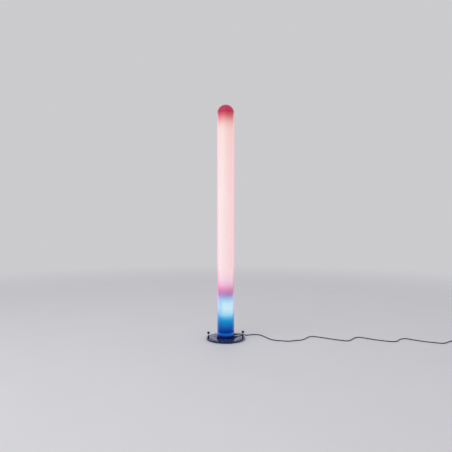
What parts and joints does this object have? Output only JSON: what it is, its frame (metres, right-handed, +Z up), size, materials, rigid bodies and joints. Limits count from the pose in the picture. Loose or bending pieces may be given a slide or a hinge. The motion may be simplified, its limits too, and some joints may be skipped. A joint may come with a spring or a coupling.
{
  "type": "floor lamp",
  "caption": "Tall colour-mixing floor lamp: a clear domed tube round a ribbed diffuser on a dark drum and a round glass base, with a mains lead.",
  "frame": {"origin": "centre of the round base, on the floor", "axes": "+Z up along the tube, +X to the right of the pictured view, -Y towards its viewer"},
  "size_m": [2.0835, 0.3154, 1.8553],
  "materials": {
    "clear_glass": "polished clear glass",
    "clear_acrylic": "polished clear acrylic",
    "opal_acrylic": "satin prismatic acrylic, lit from inside",
    "ring_acrylic": "satin acrylic, lit from inside",
    "drum_paint": "dark blue-black gloss paint",
    "black_rubber": "matte",
    "black_screws": "blackened steel",
    "zinc_steel": "zinc plated",
    "ballast_steel": "raw cut steel",
    "aluminium": "satin anodised",
    "white_paint": "white reflective paint",
    "white_plastic": "moulded",
    "red_light": "coated lamp glass",
    "green_light": "coated lamp glass",
    "blue_light": "coated lamp glass",
    "board": "circuit board",
    "brass": "turned",
    "black_plastic": "moulded",
    "cord_pvc": "smooth sheath",
    "pin_metal": "nickel plated",
    "wires": "insulated wire"
  },
  "bodies": {
    "lamp": {"base_disc": "clear_glass", "glides": "black_rubber", "bottom_cover": "black_screws", "ballast_weight": "ballast_steel", "disc_bolts": "black_screws", "disc_nuts": "zinc_steel", "drum_housing": "drum_paint", "drum_gasket": "black_rubber", "drum_screws": "zinc_steel", "tube_seal": "black_rubber", "tube_screws": "black_screws", "outer_tube": "clear_acrylic", "light_ring": "ring_acrylic", "inner_diffuser": "opal_acrylic", "diffuser_cap": "opal_acrylic", "spine": "aluminium", "spine_foot": "aluminium", "foot_screws": "zinc_steel", "hub_screws": "zinc_steel", "lamp_bracket": "white_paint", "bulkhead": "white_paint", "top_plate": "white_paint", "lampholders_low": "white_plastic", "lampholders_mid": "white_plastic", "lampholders_base": "white_plastic", "lampholders_top": "white_plastic", "red_lamp": "red_light", "green_lamp": "green_light", "blue_lamp": "blue_light", "long_lamp_caps": "aluminium", "short_lamps": "blue_light", "short_lamp_caps": "aluminium", "mounting_rail": "zinc_steel", "gear_units": "white_plastic", "wiring_loom": "wires", "control_board": "board", "board_pillars": "brass", "terminal_block": "white_plastic", "button_switch": "black_plastic", "cord_gland": "black_plastic", "gland_nut": "zinc_steel", "strain_relief": "cord_pvc", "cord_entry": "cord_pvc", "cord_run": "cord_pvc", "cord_coil": "cord_pvc", "cord_tail": "cord_pvc", "coil_tie": "black_plastic", "plug_body": "cord_pvc", "plug_pins": "pin_metal", "left_bush": "black_screws", "right_bush": "black_screws"},
    "left_foot": {"left_pad": "black_rubber"},
    "left_screw": {"left_spindle": "zinc_steel", "left_knob": "black_plastic"},
    "right_foot": {"right_pad": "black_rubber"},
    "right_screw": {"right_spindle": "zinc_steel", "right_knob": "black_plastic"},
    "button": {"control_button": "black_plastic"}
  },
  "joints": [
    {"name": "left_foot_slide", "type": "slide", "parent": "lamp", "child": "left_foot", "axis": [0, 0, 1], "range_m": [-0.01, 0]},
    {"name": "left_knob_turn", "type": "hinge", "parent": "left_foot", "child": "left_screw", "pos_m": [-0.13625, -0.01432, 0.045], "axis": [0, 0, 1], "range_deg": [-1820, 20]},
    {"name": "right_foot_slide", "type": "slide", "parent": "lamp", "child": "right_foot", "axis": [0, 0, 1], "range_m": [-0.01, 0]},
    {"name": "right_knob_turn", "type": "hinge", "parent": "right_foot", "child": "right_screw", "pos_m": [0.13625, 0.01432, 0.045], "axis": [0, 0, 1], "range_deg": [-1820, 20]},
    {"name": "button_press", "type": "slide", "parent": "lamp", "child": "button", "axis": [0.5, -0.866, 0], "range_m": [0, 0.0015], "stiffness_N_per_m": 400, "springref_m": -0.001}
  ],
  "couplings": [
    {"joint": "left_knob_turn", "follows": "left_foot_slide", "rad_per_m": 3141.6},
    {"joint": "right_knob_turn", "follows": "right_foot_slide", "rad_per_m": 3141.6}
  ]
}
